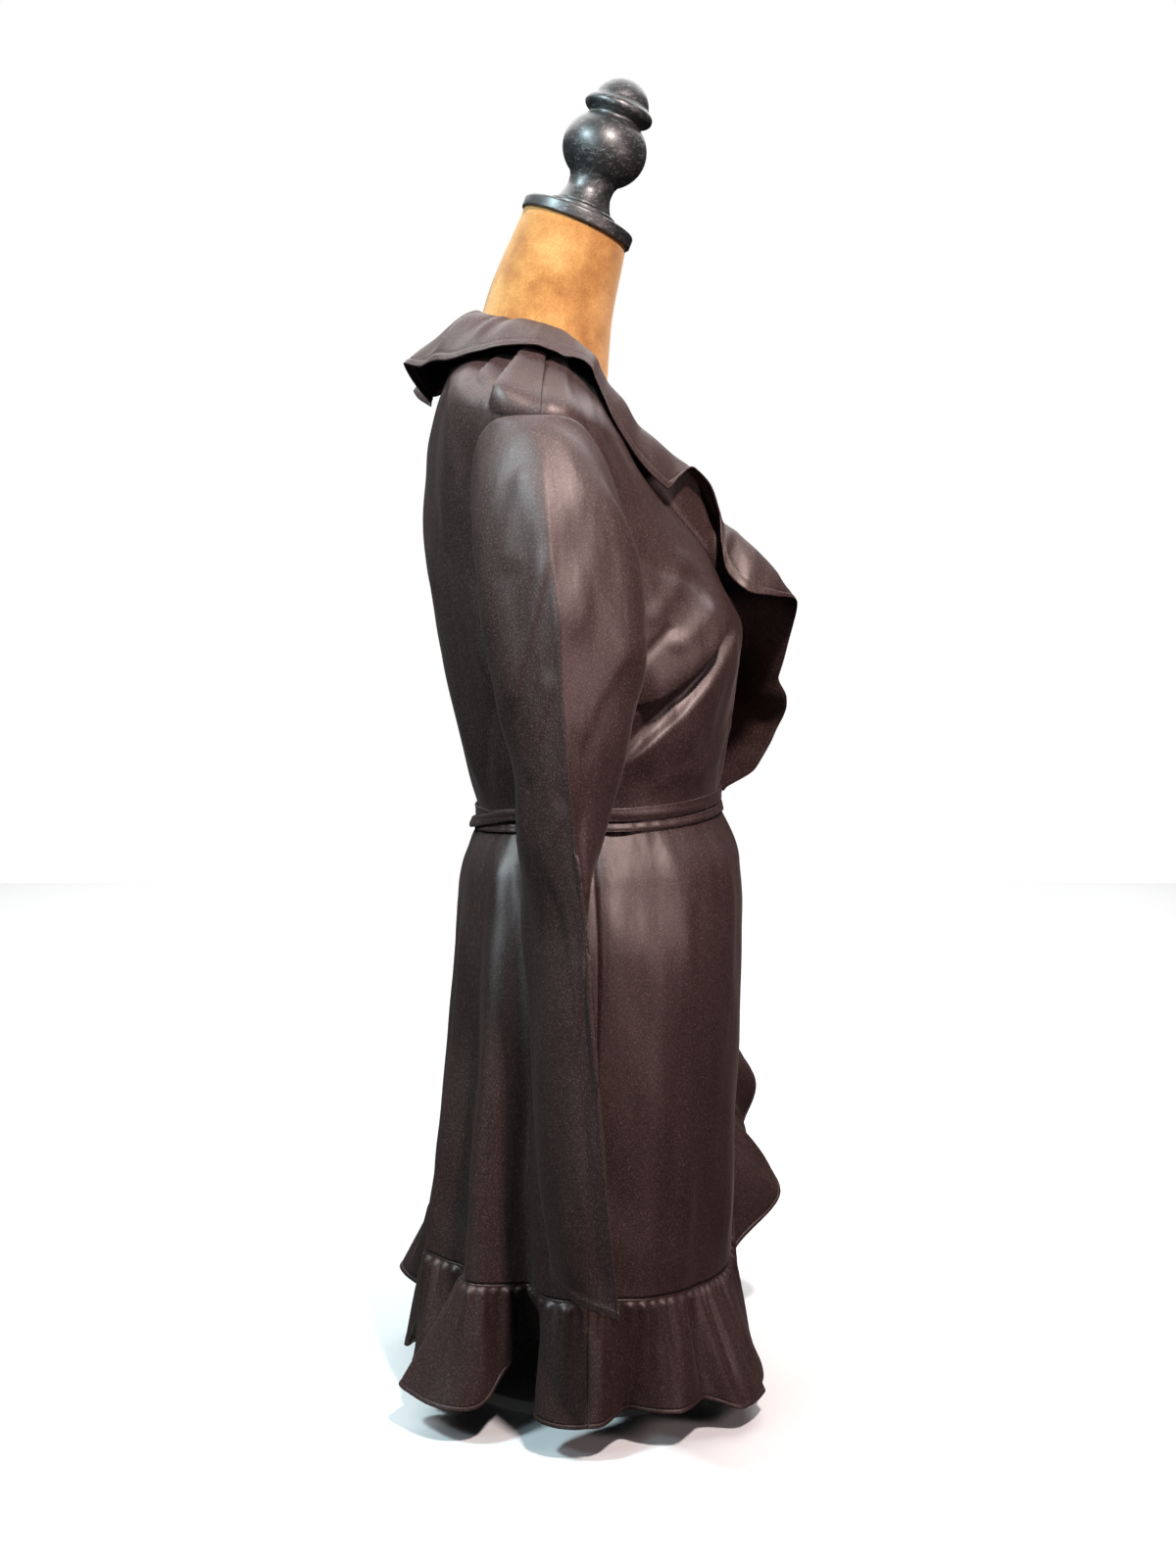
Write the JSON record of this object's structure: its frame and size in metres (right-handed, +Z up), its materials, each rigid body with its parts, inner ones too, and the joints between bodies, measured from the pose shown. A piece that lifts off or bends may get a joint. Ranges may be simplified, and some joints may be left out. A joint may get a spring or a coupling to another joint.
{
  "type": "wrap dress on a dress form",
  "caption": "Long-sleeved black satin wrap dress with a ruffled neckline, tie belt and ruffled hem, on a limbless suede-covered dress form with a turned finial.",
  "frame": {"origin": "middle of the stand's base plate, on the floor", "axes": "+Z up, -Y the way the dress faces, -X the wearer's right side"},
  "size_m": [0.531, 0.3442, 1.0706],
  "materials": {
    "satin": "black satin with a soft sheen",
    "suede": "camel suede with a fine nap",
    "painted_wood": "turned wood, black paint brushed thin over the grain",
    "painted_steel": "white satin paint"
  },
  "bodies": {
    "root": {"form_torso": "suede", "neck_cap": "painted_wood", "finial": "painted_wood", "stand_base": "painted_steel", "stand_pole": "painted_steel", "bodice_back": "satin", "bodice_front_right": "satin", "bodice_front_left": "satin", "skirt_back": "satin", "skirt_front_right": "satin", "skirt_front_left": "satin", "sleeve_right": "satin", "sleeve_left": "satin", "hem_ruffle_back": "satin", "hem_ruffle_right": "satin", "hem_ruffle_left": "satin", "neck_ruffle_right": "satin", "neck_ruffle_left": "satin", "belt_upper_wrap": "satin", "belt_lower_wrap": "satin", "belt_back_strand": "satin", "belt_knot": "satin", "belt_end_front": "satin", "belt_end_back": "satin"}
  },
  "joints": []
}
